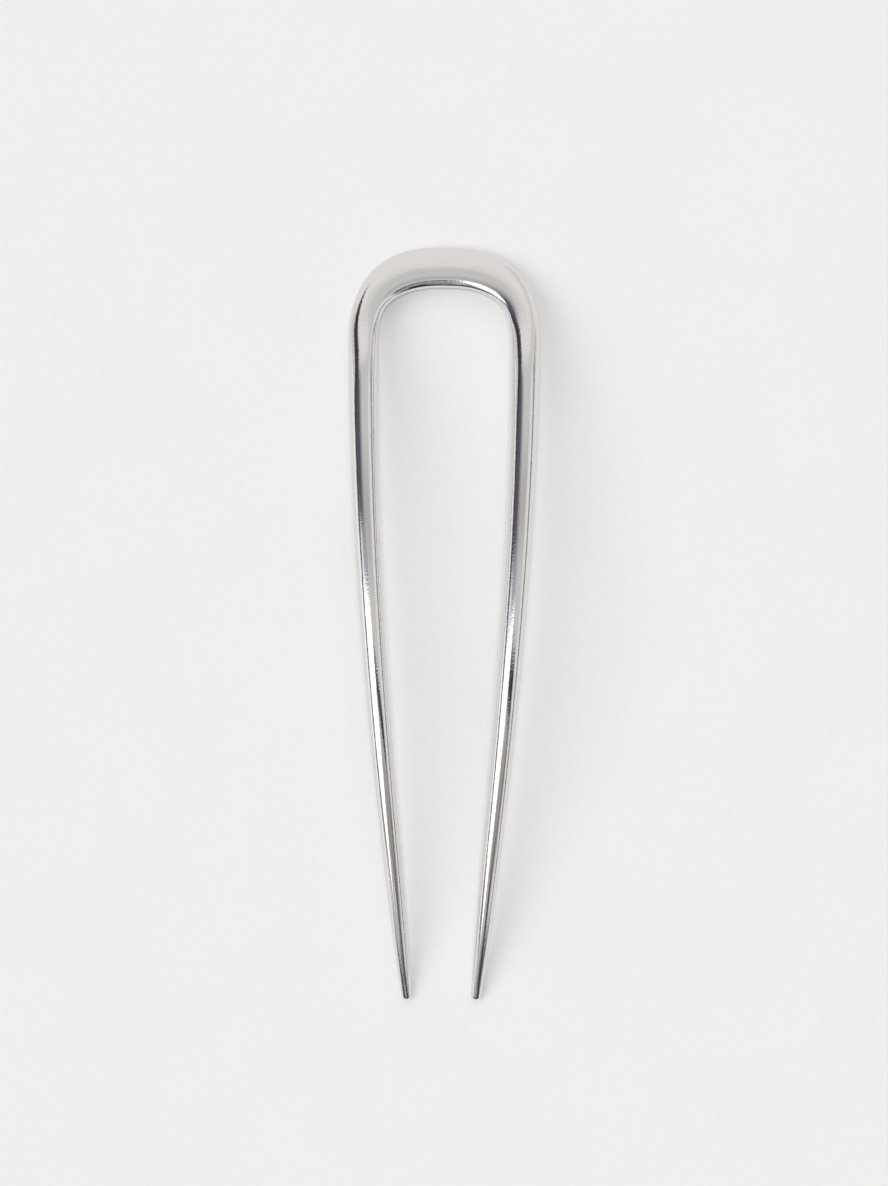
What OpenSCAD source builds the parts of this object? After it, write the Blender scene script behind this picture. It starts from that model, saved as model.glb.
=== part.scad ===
// U-shaped hairpin, cast in one piece: a flattened crown that runs into two round, tapering prongs.
// It lies on the underside of its crown and on its two tips, and bows up between them.
// The crown points along +Y, the prongs spread along X, and the surface it lies on is z = 0.

/* [Whole pin] */

// Length seen from above, from the outer edge of the crown to the tips
overall_length = 120; // [100:1:140]
// Distance between the middles of the two prongs at the shoulders
shoulder_spread = 25.8; // [21:0.2:32]
// Distance between the middles of the two tips
tip_spread = 11.1; // [8:0.1:17]
// Rise of the middle of the pin above a straight line from its tips to its crown
bow_rise = 11; // [0:0.5:18]

/* [Crown] */

// Height of the arch above the shoulders, along the middle of the metal
arch_height = 12.4; // [10:0.1:15]
// Squareness of the arch: 2 is an ellipse, and more fills the corners
arch_squareness = 2.52; // [2:0.02:3]
// Width of the metal at the top of the crown
crown_width = 6.78; // [5.4:0.02:7.8]
// Thickness of the metal at the top of the crown
crown_thickness = 2.8; // [2.2:0.05:4.6]
// Squareness of the metal's section at the top of the crown: 2 is an ellipse, and more fills the corners
crown_squareness = 2.6; // [2:0.1:3.6]
// Share of the arch, from its top towards a shoulder, over which the metal is widened
wide_reach = 0.57; // [0.45:0.01:0.65]
// Way along the metal over which it is thinned and its section is squared: 1 ends at the shoulder
thin_reach = 1.1; // [0.7:0.02:1.3]

/* [Prongs] */

// Diameter of a prong at the shoulder
shoulder_diameter = 4.66; // [4:0.02:5.3]
// Diameter of the rounded tip
tip_diameter = 1.66; // [1.2:0.02:2.4]
// Gain in diameter close behind the tip, before the slow even taper begins
point_gain = 1.11; // [0.6:0.01:1.3]
// Share of the prong over which that gain is mostly made
point_reach = 0.114; // [0.06:0.002:0.2]
// Outward lean of the prongs at the tips: 1 is straight, and more bows them outward
prong_flare = 1.46; // [1.1:0.02:1.8]

/* [Smoothness] */

// Flat sides round the metal
sides = 28; // [16:4:36]
// Steps along the arch
arch_steps = 48; // [24:4:60]
// Steps along each prong
prong_steps = 36; // [16:2:44]
// Steps over each rounded tip
tip_steps = 5; // [3:1:7]

/* [Hidden] */

half_spread = shoulder_spread / 2;
half_tips = tip_spread / 2;
tip_radius = tip_diameter / 2;

// Lean of the crown from level, where the bow comes down to the surface
crown_lean = atan(4 * bow_rise / (overall_length - crown_width / 2 - tip_radius));
// Reach of the crown's leaning section from its middle, in a direction that turns its two sizes into a and b
function section_reach(a, b) =
    let (k = crown_squareness / (crown_squareness - 1)) pow(pow(a, k) + pow(b, k), 1 / k) / 2;
crown_reach = section_reach(cos(crown_lean) * crown_width, sin(crown_lean) * crown_thickness);
// Height of the middle of the metal at the top of the crown when its lower edge touches down
crown_rest = section_reach(sin(crown_lean) * crown_width, cos(crown_lean) * crown_thickness);

crown_y = overall_length - crown_reach;
shoulder_y = crown_y - arch_height;
middle_y = (crown_y + tip_radius) / 2;
half_chord = (crown_y - tip_radius) / 2;

// The even taper goes on a little into the arch and levels out at its top
taper_gain = shoulder_diameter - tip_diameter - point_gain;
arch_gain = taper_gain * arch_height / shoulder_y;
crown_round = shoulder_diameter + arch_gain;
// Steepness with which the extra width ends, and the thinned, squared section
wide_fade = 4.5;
thin_fade = 6;
// Spacing of the steps along a prong, closer towards the tip
step_power = 1.35;
// Small step with which directions along the metal are found
tiny = 0.001;

// Places along the pin run from -2 at one tip, over -1 at its shoulder and 0 at the top of the
// crown, to 1 and 2 on the other side.

// Share of the prong that is left at a place: 1 at the shoulder, 0 at the tip
function left_of_prong(place) = 2 - abs(place);

function arch_point(place) =
    let (across = sin(90 * place), along = cos(90 * place),
         reach = pow(pow(abs(across) / half_spread, arch_squareness)
                     + pow(along / arch_height, arch_squareness), -1 / arch_squareness))
    [reach * across, shoulder_y + reach * along];

function prong_point(place) =
    let (t = left_of_prong(place),
         spread = prong_flare * t + (3 - 2 * prong_flare) * t * t + (prong_flare - 2) * t * t * t)
    [sign(place) * (half_tips + (half_spread - half_tips) * spread),
     tip_radius + (shoulder_y - tip_radius) * t];

function plan_point(place) = abs(place) < 1 ? arch_point(place) : prong_point(place);

// Height of the middle of the metal, and the slope of the bow, at a distance y from the tips
function bow_height(y) =
    tip_radius + (crown_rest - tip_radius) * (y - tip_radius) / (crown_y - tip_radius)
    + bow_rise * (1 - pow((y - middle_y) / half_chord, 2));
function bow_slope(y) =
    (crown_rest - tip_radius) / (crown_y - tip_radius)
    - 2 * bow_rise * (y - middle_y) / pow(half_chord, 2);

function centre(place) = let (p = plan_point(place)) [p.x, p.y, bow_height(p.y)];

function unit(v) = v / norm(v);
function heading(place) = unit(centre(place + tiny) - centre(place - tiny));
// Direction square to the bowed sheet in which the pin lies
function face_up(place) = unit([0, -bow_slope(centre(place).y), 1]);

// Way along the metal from the top of the crown to a place: 1 at the shoulder, and as even beyond it
function way(place) =
    min(abs(place), 1) + max(abs(place) - 1, 0) * (shoulder_y - tip_radius) / (half_spread * PI / 2);

// How much of the crown's form is left at a place: 1 at its top, 0 along the prongs
function crown_share(place, reach, fade) = exp(-pow(way(place) / reach, fade));

function round_size(place) =
    abs(place) < 1
    ? shoulder_diameter + arch_gain * cos(90 * place)
    : let (t = left_of_prong(place))
      tip_diameter + point_gain * (1 - exp(-t / point_reach)) + taper_gain * t;

function metal_width(place) =
    round_size(place) + (crown_width - crown_round) * crown_share(place, wide_reach, wide_fade);
function metal_thickness(place) =
    round_size(place) + (crown_thickness - crown_round) * crown_share(place, thin_reach, thin_fade);
function squareness(place) =
    2 + (crown_squareness - 2) * crown_share(place, thin_reach, thin_fade);

// Cosine or sine of a turn round the metal, pushed outward for a squarer section
function fuller(share, power) = sign(share) * pow(abs(share), power);

// One ring of points round the metal, pushed along the pin and shrunk for the rounded tips
function ring(place, push, shrink) =
    let (ahead = heading(place), up = face_up(place), side = cross(ahead, up),
         middle = centre(place) + push * ahead,
         w = shrink * metal_width(place) / 2, h = shrink * metal_thickness(place) / 2,
         power = 2 / squareness(place))
    [for (i = [0 : sides - 1]) let (a = 360 * i / sides)
        middle + w * fuller(cos(a), power) * side + h * fuller(sin(a), power) * up];

tip_turns = [for (i = [1 : tip_steps - 1]) 90 * i / tip_steps];
arch_places = [for (i = [0 : arch_steps]) 2 * i / arch_steps - 1];
prong_places = [for (i = [1 : prong_steps]) 2 - pow(1 - i / prong_steps, step_power)];

first_prong = [for (i = [prong_steps - 1 : -1 : 0]) -prong_places[i]];
rings = concat(
    [for (i = [tip_steps - 2 : -1 : 0]) ring(-2, -tip_radius * sin(tip_turns[i]), cos(tip_turns[i]))],
    [for (p = concat(first_prong, arch_places, prong_places)) ring(p, 0, 1)],
    [for (a = tip_turns) ring(2, tip_radius * sin(a), cos(a))]);

raw_points = concat(
    [centre(-2) - tip_radius * heading(-2)],
    [for (r = rings) each r],
    [centre(2) + tip_radius * heading(2)]);

// The pin is let down until the crown and both tips touch the surface
low_tips = min([for (p = raw_points) if (p.y < middle_y) p.z]);
low_crown = min([for (p = raw_points) if (p.y > middle_y) p.z]);
function let_down(p) =
    p.z - low_tips - (low_crown - low_tips) * (p.y - tip_radius) / (crown_y - tip_radius);
first_y = min([for (p = raw_points) p.y]);
last_y = max([for (p = raw_points) p.y]);
lowest = min([for (p = raw_points) let_down(p)]);
points = [for (p = raw_points) [p.x, p.y - (first_y + last_y) / 2, let_down(p) - lowest]];

last_ring = len(rings) - 1;
last_point = len(points) - 1;
function corner(r, i) = 1 + r * sides + i % sides;
faces = concat(
    [for (i = [0 : sides - 1]) [0, corner(0, i), corner(0, i + 1)]],
    [for (r = [0 : last_ring - 1], i = [0 : sides - 1])
        each [[corner(r, i), corner(r + 1, i), corner(r + 1, i + 1)],
              [corner(r, i), corner(r + 1, i + 1), corner(r, i + 1)]]],
    [for (i = [0 : sides - 1]) [last_point, corner(last_ring, i + 1), corner(last_ring, i)]]);

// The whole pin: crown, prongs and tips are one casting
module hairpin() {
    color("silver") polyhedron(points = points, faces = faces, convexity = 4);
}

hairpin();
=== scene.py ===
import math

import bpy
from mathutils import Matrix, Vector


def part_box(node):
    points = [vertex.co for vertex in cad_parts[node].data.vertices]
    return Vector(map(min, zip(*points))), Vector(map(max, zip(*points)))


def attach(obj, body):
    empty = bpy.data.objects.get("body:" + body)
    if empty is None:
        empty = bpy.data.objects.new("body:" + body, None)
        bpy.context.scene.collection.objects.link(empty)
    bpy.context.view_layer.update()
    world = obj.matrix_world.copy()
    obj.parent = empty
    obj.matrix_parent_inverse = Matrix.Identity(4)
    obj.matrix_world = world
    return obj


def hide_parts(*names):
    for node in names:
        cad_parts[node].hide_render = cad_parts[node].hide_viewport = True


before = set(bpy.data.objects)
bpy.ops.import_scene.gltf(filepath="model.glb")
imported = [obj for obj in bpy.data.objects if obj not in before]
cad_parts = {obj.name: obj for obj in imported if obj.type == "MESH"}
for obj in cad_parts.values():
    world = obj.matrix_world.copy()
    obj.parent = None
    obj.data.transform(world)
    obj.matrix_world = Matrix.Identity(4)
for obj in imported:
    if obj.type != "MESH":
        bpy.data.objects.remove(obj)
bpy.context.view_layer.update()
print("stage: frame loaded")

millimetre = 0.001    # the frame and the scene are in metres


# What flows along a link of a node tree, so that a rule is written here as a formula
class Flow:
    def __init__(self, tree, socket):
        self.tree, self.socket = tree, socket

    def __add__(self, other):
        return mathStep(self.tree, "ADD", self, other)

    def __radd__(self, other):
        return mathStep(self.tree, "ADD", other, self)

    def __sub__(self, other):
        return mathStep(self.tree, "SUBTRACT", self, other)

    def __rsub__(self, other):
        return mathStep(self.tree, "SUBTRACT", other, self)

    def __mul__(self, other):
        return mathStep(self.tree, "MULTIPLY", self, other)

    def __rmul__(self, other):
        return mathStep(self.tree, "MULTIPLY", other, self)

    def __truediv__(self, other):
        return mathStep(self.tree, "DIVIDE", self, other)

    def __rtruediv__(self, other):
        return mathStep(self.tree, "DIVIDE", other, self)

    def __pow__(self, other):
        return mathStep(self.tree, "POWER", self, other)

    def __neg__(self):
        return mathStep(self.tree, "MULTIPLY", self, -1.0)


def plug(tree, value, socket):
    if isinstance(value, Flow):
        tree.links.new(value.socket, socket)
    else:
        socket.default_value = value


def mathStep(tree, operation, *values):
    step = tree.nodes.new("ShaderNodeMath")
    step.operation = operation
    for value, socket in zip(values, step.inputs):
        plug(tree, value, socket)
    return Flow(tree, step.outputs[0])


def vectorStep(tree, operation, *values, result="Vector"):
    step = tree.nodes.new("ShaderNodeVectorMath")
    step.operation = operation
    sockets = [s for s in step.inputs if s.enabled]
    for value, socket in zip(values, sockets):
        plug(tree, value, socket)
    return Flow(tree, step.outputs[result])


def clampStep(tree, value):
    step = tree.nodes.new("ShaderNodeClamp")
    plug(tree, value, step.inputs["Value"])
    return Flow(tree, step.outputs["Result"])


def joinXyz(tree, x, y, z):
    step = tree.nodes.new("ShaderNodeCombineXYZ")
    for value, socket in zip((x, y, z), step.inputs):
        plug(tree, value, socket)
    return Flow(tree, step.outputs["Vector"])


def splitXyz(tree, vector):
    step = tree.nodes.new("ShaderNodeSeparateXYZ")
    plug(tree, vector, step.inputs["Vector"])
    return [Flow(tree, socket) for socket in step.outputs]


def opaque(color):
    return (*color, 1.0)


def mixColor(tree, share, first, second):
    step = tree.nodes.new("ShaderNodeMix")
    step.data_type = "RGBA"
    sockets = [s for s in step.inputs if s.enabled]
    plug(tree, share, sockets[0])
    plug(tree, first, sockets[1])
    plug(tree, second, sockets[2])
    return Flow(tree, [s for s in step.outputs if s.enabled][0])


# Hairpin: lengths in millimetres, y measured from the tips
hairpinSizes = {
    "shoulder spread": 25.8,     # between the middles of the prongs
    "tip spread": 11.1,          # between the middles of the tips
    "bow rise": 11.0,            # of the middle of the pin
    "arch height": 12.4,         # above the shoulders
    "arch squareness": 2.52,     # 2 is an ellipse, and more fills the corners
    "crown width": 6.78,
    "crown thickness": 2.8,
    "crown squareness": 2.6,     # 2 is an elliptical section
    "wide reach": 0.57,          # share of the arch that is widened
    "wide fade": 4.5,            # steepness with which that ends
    "thin reach": 1.1,           # way along the metal that is thinned and squared
    "thin fade": 6.0,            # steepness with which that ends
    "shoulder diameter": 4.66,
    "tip diameter": 1.66,
    "point gain": 1.11,          # gain in diameter close behind the tip
    "point reach": 0.114,        # share of the prong over which that is mostly gained
    "prong flare": 1.46,         # 1 is straight, and more bows the prongs outward
    "sides": 112,
    "rings": 800,
    "cap share": 0.03,           # share of the rings that close the two rounded tips
    "heading step": 0.002,       # how far before and behind a place its direction is taken
}


# How far the crown's leaning section reaches from its middle
def sectionReach(sizes, first, second):
    power = sizes["crown squareness"] / (sizes["crown squareness"] - 1)
    return (first ** power + second ** power) ** (1 / power) / 2


def workOutSizes(sizes):
    low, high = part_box("hairpin")
    length = (high.y - low.y) / millimetre
    tipRadius = sizes["tip diameter"] / 2
    width, thickness = sizes["crown width"], sizes["crown thickness"]
    lean = math.atan(4 * sizes["bow rise"] / (length - width / 2 - tipRadius))
    crownY = length - sectionReach(sizes, math.cos(lean) * width, math.sin(lean) * thickness)
    crownRest = sectionReach(sizes, math.sin(lean) * width, math.cos(lean) * thickness)
    shoulderY = crownY - sizes["arch height"]
    taperGain = sizes["shoulder diameter"] - sizes["tip diameter"] - sizes["point gain"]
    return {
        **sizes,
        "tip radius": tipRadius,
        "crown y": crownY,
        "crown rest": crownRest,
        "shoulder y": shoulderY,
        "middle y": (crownY + tipRadius) / 2,
        "half chord": (crownY - tipRadius) / 2,
        "taper gain": taperGain,
        "arch gain": taperGain * sizes["arch height"] / shoulderY,
    }


# Places along the pin: 0 is the top of the crown, -1 and 1 the shoulders, -2 and 2 the tips.
# Their reach is how far they are from the top of the crown, and their side is the sign.
def archPoint(tree, size, reach, side):
    turn = mathStep(tree, "MINIMUM", reach, 1.0) * (math.pi / 2)
    across = mathStep(tree, "SINE", turn)
    along = mathStep(tree, "ABSOLUTE", mathStep(tree, "COSINE", turn))
    squareness = size["arch squareness"]
    ray = ((across / (size["shoulder spread"] * 0.5)) ** squareness
           + (along / size["arch height"]) ** squareness) ** (-1.0 / squareness)
    return side * ray * across, size["shoulder y"] + ray * along


def prongPoint(tree, size, reach, side):
    left = 2.0 - reach           # 1 at the shoulder, 0 at the tip
    flare = size["prong flare"]
    spread = left * (flare + left * (3.0 - 2.0 * flare + left * (flare - 2.0)))
    halfTips = size["tip spread"] * 0.5
    x = side * (halfTips + (size["shoulder spread"] * 0.5 - halfTips) * spread)
    return x, size["tip radius"] + (size["shoulder y"] - size["tip radius"]) * left


def centrePoint(tree, size, place):
    reach = mathStep(tree, "ABSOLUTE", place)
    side = mathStep(tree, "SIGN", place)
    onArch = mathStep(tree, "LESS_THAN", reach, 1.0)
    archX, archY = archPoint(tree, size, reach, side)
    prongX, prongY = prongPoint(tree, size, reach, side)
    x = prongX + onArch * (archX - prongX)
    y = prongY + onArch * (archY - prongY)
    tipRadius = size["tip radius"]
    rise = (size["crown rest"] - tipRadius) / (size["crown y"] - tipRadius)
    bow = 1.0 - ((y - size["middle y"]) / size["half chord"]) ** 2.0
    z = tipRadius + rise * (y - tipRadius) + size["bow rise"] * bow
    slope = rise - 2.0 * size["bow rise"] * (y - size["middle y"]) / size["half chord"] ** 2.0
    return joinXyz(tree, x, y, z), slope


# How much of the crown's form is left: 1 at its top, 0 along the prongs
def crownShare(tree, way, reach, fade):
    return mathStep(tree, "EXPONENT", -((way / reach) ** fade))


def metalSizes(tree, size, place):
    reach = mathStep(tree, "ABSOLUTE", place)
    onArch = mathStep(tree, "LESS_THAN", reach, 1.0)
    onArchTurn = mathStep(tree, "COSINE", mathStep(tree, "MINIMUM", reach, 1.0) * (math.pi / 2))
    left = 2.0 - reach
    behindTip = 1.0 - mathStep(tree, "EXPONENT", -left / size["point reach"])
    prong = size["tip diameter"] + size["point gain"] * behindTip + size["taper gain"] * left
    arch = size["shoulder diameter"] + size["arch gain"] * onArchTurn
    roundSize = prong + onArch * (arch - prong)
    crownRound = size["shoulder diameter"] + size["arch gain"]
    perArch = (size["shoulder y"] - size["tip radius"]) / (size["shoulder spread"] * (math.pi / 4))
    way = mathStep(tree, "MINIMUM", reach, 1.0) + mathStep(tree, "MAXIMUM", reach - 1.0, 0.0) * perArch
    widened = crownShare(tree, way, size["wide reach"], size["wide fade"])
    thinned = crownShare(tree, way, size["thin reach"], size["thin fade"])
    width = roundSize + (size["crown width"] - crownRound) * widened
    thickness = roundSize + (size["crown thickness"] - crownRound) * thinned
    squareness = 2.0 + (size["crown squareness"] - 2.0) * thinned
    return width, thickness, squareness


# Cosine or sine of a turn round the metal, pushed outward for a squarer section
def fuller(tree, share, squareness):
    power = mathStep(tree, "POWER", mathStep(tree, "ABSOLUTE", share), 2.0 / squareness)
    return mathStep(tree, "SIGN", share) * power


def extreme(tree, geometry, value, selection):
    step = tree.nodes.new("GeometryNodeAttributeStatistic")
    tree.links.new(geometry, step.inputs["Geometry"])
    plug(tree, selection, step.inputs["Selection"])
    plug(tree, value, [s for s in step.inputs if s.name == "Attribute" and s.enabled][0])
    return Flow(tree, step.outputs["Min"])


def moved(tree, geometry, position):
    step = tree.nodes.new("GeometryNodeSetPosition")
    tree.links.new(geometry, step.inputs["Geometry"])
    plug(tree, position, step.inputs["Position"])
    return step.outputs["Geometry"]


def pointPlace(tree):
    return Flow(tree, tree.nodes.new("GeometryNodeInputPosition").outputs["Position"])


def makeBall(tree, size):
    ball = tree.nodes.new("GeometryNodeMeshUVSphere")
    plug(tree, size["sides"], ball.inputs["Segments"])
    plug(tree, size["rings"], ball.inputs["Rings"])
    plug(tree, 1.0, ball.inputs["Radius"])
    return ball.outputs["Mesh"]


# Each ring of the ball becomes a ring round the metal, from one tip over the crown to the other
def ringPlace(tree, size, ballPoint):
    ballX, ballY, ballZ = splitXyz(tree, ballPoint)
    out = mathStep(tree, "SQRT", ballX * ballX + ballY * ballY)
    share = mathStep(tree, "ARCTAN2", out, ballZ) / math.pi * 2.0 - 1.0
    around = mathStep(tree, "ARCTAN2", ballY, ballX)
    body = 1.0 - size["cap share"]
    fromCrown = mathStep(tree, "ABSOLUTE", share)
    side = mathStep(tree, "SIGN", share)
    place = side * mathStep(tree, "MINIMUM", fromCrown / body, 1.0) * 2.0
    capTurn = clampStep(tree, (fromCrown - body) / size["cap share"]) * (math.pi / 2)
    return side, place, around, capTurn


# Where a point of the ball goes, on the pin and on the same metal laid straight
def sweptPoint(tree, size, ballPoint):
    side, place, around, capTurn = ringPlace(tree, size, ballPoint)
    centre, slope = centrePoint(tree, size, place)
    ahead = centrePoint(tree, size, place + size["heading step"])[0]
    behind = centrePoint(tree, size, place - size["heading step"])[0]
    heading = vectorStep(tree, "NORMALIZE", vectorStep(tree, "SUBTRACT", ahead, behind))
    up = vectorStep(tree, "NORMALIZE", joinXyz(tree, 0.0, -slope, 1.0))
    across = vectorStep(tree, "CROSS_PRODUCT", heading, up)
    width, thickness, squareness = metalSizes(tree, size, place)
    shrink = mathStep(tree, "COSINE", capTurn) * 0.5
    push = side * size["tip radius"] * mathStep(tree, "SINE", capTurn)
    sideways = shrink * width * fuller(tree, mathStep(tree, "COSINE", around), squareness)
    upwards = shrink * thickness * fuller(tree, mathStep(tree, "SINE", around), squareness)
    position = vectorStep(tree, "ADD", centre, vectorStep(tree, "SCALE", heading, push))
    position = vectorStep(tree, "ADD", position, vectorStep(tree, "SCALE", across, sideways))
    position = vectorStep(tree, "ADD", position, vectorStep(tree, "SCALE", up, upwards))
    fromCrownTop = side * (size["crown y"] - splitXyz(tree, centre)[1])
    return position, joinXyz(tree, sideways, fromCrownTop, upwards)


# The straight metal's points, kept for finishes that follow its length
def keepStraight(tree, geometry, straight):
    keep = tree.nodes.new("GeometryNodeStoreNamedAttribute")
    keep.data_type = "FLOAT_VECTOR"
    keep.domain = "POINT"
    keep.inputs["Name"].default_value = "alongMetal"
    plug(tree, straight, [s for s in keep.inputs if s.name == "Value" and s.enabled][0])
    tree.links.new(geometry, keep.inputs["Geometry"])
    return keep.outputs["Geometry"]


# Let down until the crown and both tips touch the surface, then centred and brought to metres
def letDown(tree, size, geometry):
    x, y, z = splitXyz(tree, pointPlace(tree))
    nearTips = mathStep(tree, "LESS_THAN", y, size["middle y"])
    lowTips = extreme(tree, geometry, z, nearTips)
    lowCrown = extreme(tree, geometry, z, 1.0 - nearTips)
    tipRadius = size["tip radius"]
    fall = lowTips + (lowCrown - lowTips) * (y - tipRadius) / (size["crown y"] - tipRadius)
    geometry = moved(tree, geometry, joinXyz(tree, x, y, z - fall))
    box = tree.nodes.new("GeometryNodeBoundBox")
    tree.links.new(geometry, box.inputs["Geometry"])
    lowY, lowZ = splitXyz(tree, Flow(tree, box.outputs["Min"]))[1:]
    highY = splitXyz(tree, Flow(tree, box.outputs["Max"]))[1]
    placed = joinXyz(tree, x, y - (lowY + highY) * 0.5, z - lowZ)
    return moved(tree, geometry, vectorStep(tree, "SCALE", placed, millimetre))


def coated(tree, geometry, finish):
    smooth = tree.nodes.new("GeometryNodeSetShadeSmooth")
    tree.links.new(geometry, smooth.inputs["Geometry"])
    real = tree.nodes.new("GeometryNodeRealizeInstances")
    tree.links.new(smooth.outputs["Geometry"], real.inputs["Geometry"])
    coat = tree.nodes.new("GeometryNodeSetMaterial")
    coat.inputs["Material"].default_value = finish
    tree.links.new(real.outputs["Geometry"], coat.inputs["Geometry"])
    return coat.outputs["Geometry"]


def sweepTree(sizes, finish):
    tree = bpy.data.node_groups.new("hairpinSweep", "GeometryNodeTree")
    tree.is_modifier = True
    sockets = {}
    for name, value in sizes.items():
        kind = "NodeSocketInt" if isinstance(value, int) else "NodeSocketFloat"
        sockets[name] = tree.interface.new_socket(name, in_out="INPUT", socket_type=kind)
    tree.interface.new_socket("hairpin", in_out="OUTPUT", socket_type="NodeSocketGeometry")
    entry = tree.nodes.new("NodeGroupInput")
    size = {name: Flow(tree, entry.outputs[name]) for name in sizes}
    position, straight = sweptPoint(tree, size, pointPlace(tree))
    geometry = keepStraight(tree, makeBall(tree, size), straight)
    geometry = letDown(tree, size, moved(tree, geometry, position))
    outlet = tree.nodes.new("NodeGroupOutput")
    tree.links.new(coated(tree, geometry, finish), outlet.inputs["hairpin"])
    return tree, sockets


def makeHairpin(finish):
    sizes = workOutSizes(hairpinSizes)
    tree, sockets = sweepTree(sizes, finish)
    seedMesh = bpy.data.meshes.new("hairpinSeed")
    sweep = bpy.data.objects.new("hairpinSweep", seedMesh)
    bpy.context.scene.collection.objects.link(sweep)
    modifier = sweep.modifiers.new("sweep", "NODES")
    modifier.node_group = tree
    for name, socket in sockets.items():
        modifier[socket.identifier] = sizes[name]
    graph = bpy.context.evaluated_depsgraph_get()
    mesh = bpy.data.meshes.new_from_object(sweep.evaluated_get(graph))
    mesh.name = "hairpinMetal"
    # the seed mesh leaves an empty slot before the silver
    for index in reversed(range(len(mesh.materials))):
        if mesh.materials[index] is None:
            mesh.materials.pop(index=index)
    bpy.data.objects.remove(sweep)
    pin = bpy.data.objects.new("hairpin_polished", mesh)
    bpy.context.scene.collection.objects.link(pin)
    print("stage: hairpin swept,", len(mesh.vertices), "points")
    return pin


# Silver plating: mirror polish over metal that was buffed by hand, lengths in metres
silverPlating = {
    "color": (0.80, 0.79, 0.785),
    "roughness": 0.04,
    "cloudy roughness": 0.075,   # where the polish is a little duller
    "cloud size": 0.007,
    "cloud detail": 2.0,
    "cloud contrast": 2.0,
    "cloud threshold": 0.3,
    "wave length": 0.0045,       # slow waviness of the cast surface
    "wave height": 0.000012,
    "wave detail": 1.0,
    "grain length": 0.00032,     # orange peel
    "grain height": 0.000010,
    "grain detail": 1.0,
    "buff width": 0.0005,        # lengthwise marks of the buffing wheel
    "buff length": 0.012,
    "buff height": 0.0000012,
    "buff detail": 2.0,
}


def noiseStep(tree, vector, size, detail):
    step = tree.nodes.new("ShaderNodeTexNoise")
    plug(tree, vectorStep(tree, "SCALE", vector, 1 / size), step.inputs["Vector"])
    step.inputs["Scale"].default_value = 1.0
    step.inputs["Detail"].default_value = detail
    return Flow(tree, [s for s in step.outputs if s.name in ("Fac", "Factor")][0])


def makeSilver():
    material = bpy.data.materials.new("silver_plating")
    material.use_nodes = True
    tree = material.node_tree
    shader = tree.nodes["Principled BSDF"]
    place = Flow(tree, tree.nodes.new("ShaderNodeTexCoord").outputs["Object"])
    straight = tree.nodes.new("ShaderNodeAttribute")
    straight.attribute_name = "alongMetal"
    across, along, upwards = splitXyz(tree, Flow(tree, straight.outputs["Vector"]))
    slowness = silverPlating["buff width"] / silverPlating["buff length"]
    buffPlace = vectorStep(tree, "SCALE", joinXyz(tree, across, along * slowness, upwards), millimetre)

    wave = noiseStep(tree, place, silverPlating["wave length"], silverPlating["wave detail"])
    grain = noiseStep(tree, place, silverPlating["grain length"], silverPlating["grain detail"])
    buff = noiseStep(tree, buffPlace, silverPlating["buff width"], silverPlating["buff detail"])
    height = (wave * silverPlating["wave height"] + grain * silverPlating["grain height"]
              + buff * silverPlating["buff height"])
    bump = tree.nodes.new("ShaderNodeBump")
    bump.inputs["Strength"].default_value = 1.0
    bump.inputs["Distance"].default_value = 1.0
    plug(tree, height, bump.inputs["Height"])
    tree.links.new(bump.outputs["Normal"], shader.inputs["Normal"])

    cloud = noiseStep(tree, place, silverPlating["cloud size"], silverPlating["cloud detail"])
    duller = silverPlating["cloudy roughness"] - silverPlating["roughness"]
    clouded = clampStep(tree, (cloud - silverPlating["cloud threshold"]) * silverPlating["cloud contrast"])
    plug(tree, silverPlating["roughness"] + clouded * duller, shader.inputs["Roughness"])
    shader.inputs["Base Color"].default_value = opaque(silverPlating["color"])
    shader.inputs["Metallic"].default_value = 1.0
    return material


# Pale floor: paper with faint fibers and mottling, lengths in metres
floorSettings = {
    "size": 4.0,
    "color": (0.902, 0.892, 0.877),
    "fiber color": (0.877, 0.872, 0.862),
    "fiber size": 0.0011,
    "mottle size": 0.02,
    "paper detail": 2.0,
    "paper contrast": 2.0,
    "paper threshold": 0.75,
    "roughness": 0.9,
    "specular": 0.1,
}


def makeFloor():
    half = floorSettings["size"] / 2
    mesh = bpy.data.meshes.new("paleFloor")
    corners = [(-half, -half, 0), (half, -half, 0), (half, half, 0), (-half, half, 0)]
    mesh.from_pydata(corners, [], [(0, 1, 2, 3)])
    floor = bpy.data.objects.new("pale_floor", mesh)
    bpy.context.scene.collection.objects.link(floor)
    material = bpy.data.materials.new("pale_floor")
    material.use_nodes = True
    tree = material.node_tree
    shader = tree.nodes["Principled BSDF"]
    place = Flow(tree, tree.nodes.new("ShaderNodeTexCoord").outputs["Object"])
    fibers = noiseStep(tree, place, floorSettings["fiber size"], floorSettings["paper detail"])
    mottle = noiseStep(tree, place, floorSettings["mottle size"], floorSettings["paper detail"])
    uneven = fibers + mottle - floorSettings["paper threshold"]
    share = clampStep(tree, uneven * floorSettings["paper contrast"])
    paper = mixColor(tree, share, opaque(floorSettings["color"]), opaque(floorSettings["fiber color"]))
    plug(tree, paper, shader.inputs["Base Color"])
    shader.inputs["Roughness"].default_value = floorSettings["roughness"]
    shader.inputs["Specular IOR Level"].default_value = floorSettings["specular"]
    mesh.materials.append(material)


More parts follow.
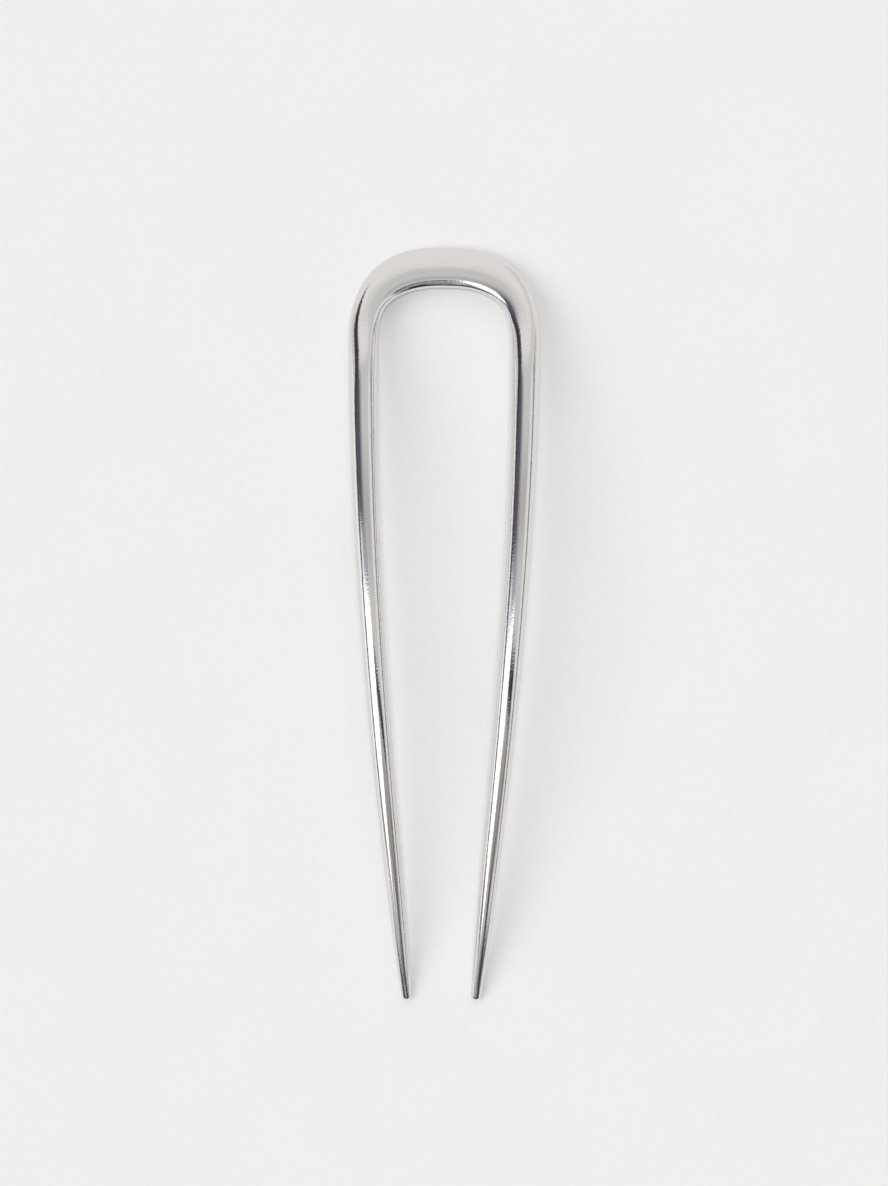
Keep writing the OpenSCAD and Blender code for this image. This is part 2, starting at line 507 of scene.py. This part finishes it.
# Studio: places in the sky in degrees from straight overhead, to the east (+X) and to the north (+Y)
studio = {
    "overhead": (0.66, 0.65, 0.64),
    "seen by the camera": (0.87, 0.865, 0.855),
    "horizon": (0.90, 0.895, 0.885),
    "horizon starts": 82.0,
    "horizon softness": 6.0,
    # what the polished metal mirrors; a later panel stands before the earlier ones
    "panels": {
        # east, north, half width, half height, turn, softness across and along, color
        "north wall": (0, 83.5, 140, 42, 0, 6, 6, (0.876, 0.850, 0.838)),
        "north wall in the east": (38, 56, 10, 20, 0, 24, 10, (0.66, 0.64, 0.63)),
        "east wall": (78, 0, 34, 75, 0, 12, 14, (0.86, 0.85, 0.84)),
        "south wall": (0, -97, 80, 20, 0, 6, 6, (0.80, 0.79, 0.78)),
        "west wall": (-95, -10, 24, 45, 0, 5, 5, (1.10, 1.10, 1.10)),
        "ceiling strip": (8, 13, 28, 6, 0, 12, 8, (0.52, 0.50, 0.49)),
        "south ceiling": (20, -26, 27, 10, 0, 8, 6, (0.41, 0.385, 0.375)),
        "south ceiling shade": (2, -33, 9, 12, 0, 6, 10, (0.31, 0.29, 0.28)),
        "east gap": (70, -10, 6, 42, -4, 8, 8, (0.24, 0.235, 0.24)),
        "east beam": (66, 30, 16, 4, -40, 8, 6, (0.40, 0.39, 0.39)),
        "west gap": (-46, 20, 26, 17, 0, 26, 6, (0.11, 0.11, 0.135)),
        "west beam": (-47, 35, 30, 6.5, 28, 4, 4, (0.05, 0.05, 0.06)),
        "west post": (-65, 4, 5, 32, 0, 4, 4, (0.06, 0.06, 0.07)),
        "west post below": (-65, -16, 3.5, 16, 0, 4, 6, (0.10, 0.10, 0.12)),
        "west wall above the beam": (-63.7, 38.9, 17, 8, 38, 6, 3, (0.68, 0.68, 0.70)),
        "softbox flange": (-33, 4, 26, 5, 0, 6, 5, (0.42, 0.43, 0.48)),
        "softbox": (-31, -19.5, 26, 20.5, 0, 5, 4, (1.50, 1.50, 1.51)),
        "softbox cut in the east": (-11.5, -31.5, 17, 6, 46, 6, 5, (0.41, 0.395, 0.385)),
        "softbox cut in the west": (-51, -34, 14, 4, -36, 5, 4, (0.14, 0.14, 0.16)),
        "softbox corner": (-49, 4, 9, 3, 0, 6, 4, (0.85, 0.86, 0.90)),
        "south floor": (-4, -52, 66, 8, 0, 8, 6, (0.20, 0.185, 0.18)),
        "south gap": (18, -46, 9, 13, 0, 8, 8, (0.06, 0.058, 0.058)),
        "softbox tail": (-34, -44.5, 17, 5.5, 0, 6, 5, (0.56, 0.555, 0.57)),
        "south streak": (28, -29, 15, 3, 42, 8, 6, (0.14, 0.13, 0.13)),
        "south west post": (-40, -56.5, 8, 7, 0, 8, 4, (0.03, 0.03, 0.035)),
        "south east post": (27, -55, 9, 8, 0, 8, 5, (0.035, 0.035, 0.035)),
        "south lamp": (-5, -54.5, 10, 2.4, 0, 10, 3, (0.85, 0.84, 0.83)),
        "south door": (0, -76, 62, 20, 0, 10, 3, (0.02, 0.02, 0.018)),
        "boom": (18, -10.5, 21, 4, -8, 6, 4, (0.08, 0.08, 0.10)),
        "boom end": (27, -12, 8, 3, -8, 5, 3, (0.03, 0.03, 0.04)),
    },
    # what is left over for the floor beside the lamps
    "dim": (0.33, 0.3285, 0.3265),
    "lamps": {
        # east, north, size of the disc in degrees, strength
        "overhead lamp": (0, 0, 7, 0.93),
        "west lamp": (-38, -7, 48, 1.02),
        "north lamp": (-4, 42, 44, 0.42),
    },
}


def patchMask(tree, fromEast, fromNorth, halfWidth, halfHeight, turn, softAcross, softAlong):
    cosTurn, sinTurn = math.cos(math.radians(turn)), math.sin(math.radians(turn))
    u = mathStep(tree, "ABSOLUTE", fromEast * cosTurn + fromNorth * sinTurn)
    v = mathStep(tree, "ABSOLUTE", fromNorth * cosTurn - fromEast * sinTurn)
    inU = clampStep(tree, (halfWidth - u) / softAcross + 0.5)
    inV = clampStep(tree, (halfHeight - v) / softAlong + 0.5)
    return inU * inV


# Where a ray goes: degrees from straight overhead, and how many of them east and north
def skyPlace(tree):
    coordinates = tree.nodes.new("ShaderNodeTexCoord")
    direction = vectorStep(tree, "NORMALIZE", Flow(tree, coordinates.outputs["Generated"]))
    x, y, z = splitXyz(tree, direction)
    tiny = 0.00001
    out = mathStep(tree, "MAXIMUM", mathStep(tree, "SQRT", x * x + y * y), tiny)
    fromZenith = mathStep(tree, "ARCTAN2", out, z) * (180 / math.pi)
    return fromZenith, x / out * fromZenith, y / out * fromZenith


def mirroredRoom(tree):
    fromZenith, east, north = skyPlace(tree)
    horizon = clampStep(tree, (fromZenith - studio["horizon starts"]) / studio["horizon softness"])
    mirrored = mixColor(tree, horizon, opaque(studio["overhead"]), opaque(studio["horizon"]))
    for middleEast, middleNorth, *shape, color in studio["panels"].values():
        mask = patchMask(tree, east - middleEast, north - middleNorth, *shape)
        mirrored = mixColor(tree, mask, mirrored, opaque(color))
    return mirrored


def makeStudio():
    world = bpy.data.worlds.new("studio")
    bpy.context.scene.world = world
    world.use_nodes = True
    tree = world.node_tree
    tree.nodes.clear()
    rays = tree.nodes.new("ShaderNodeLightPath")
    glossy, seen = Flow(tree, rays.outputs["Is Glossy Ray"]), Flow(tree, rays.outputs["Is Camera Ray"])
    color = mixColor(tree, glossy, opaque(studio["dim"]), mirroredRoom(tree))
    color = mixColor(tree, seen, color, opaque(studio["seen by the camera"]))
    background = tree.nodes.new("ShaderNodeBackground")
    plug(tree, color, background.inputs["Color"])
    output = tree.nodes.new("ShaderNodeOutputWorld")
    tree.links.new(background.outputs["Background"], output.inputs["Surface"])


def makeLamps():
    for name, (east, north, disc, strength) in studio["lamps"].items():
        data = bpy.data.lights.new(name, "SUN")
        data.energy = strength
        data.angle = math.radians(disc)
        lamp = bpy.data.objects.new(name, data)
        fromZenith = math.radians(math.hypot(east, north))
        lamp.rotation_euler = (0, fromZenith, math.atan2(north, east))
        lamp.visible_glossy = False      # the metal mirrors the panels instead
        bpy.context.scene.collection.objects.link(lamp)


# Camera straight above the pin, as in the photograph, lengths in metres
cameraSettings = {
    "height": 0.900,
    "frame height": 0.1880,      # what the long side of the picture takes in, at the pin
    "pin height": 0.006,         # above the floor, where that is measured
    "middle": (0.000143, 0.00492),
    "turn": 0.0047,              # radians
}


def makeCamera():
    data = bpy.data.cameras.new("overhead")
    distance = cameraSettings["height"] - cameraSettings["pin height"]
    data.lens = data.sensor_width * distance / cameraSettings["frame height"]
    camera = bpy.data.objects.new("overhead", data)
    camera.location = (*cameraSettings["middle"], cameraSettings["height"])
    camera.rotation_euler = (0, 0, cameraSettings["turn"])
    bpy.context.scene.collection.objects.link(camera)
    bpy.context.scene.camera = camera


makeCamera()
makeStudio()
makeLamps()
makeFloor()
silver = makeSilver()
pin = makeHairpin(silver)
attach(pin, "root")
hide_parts("hairpin")
bpy.context.scene.view_settings.view_transform = "Standard"
print("stage: scene made")
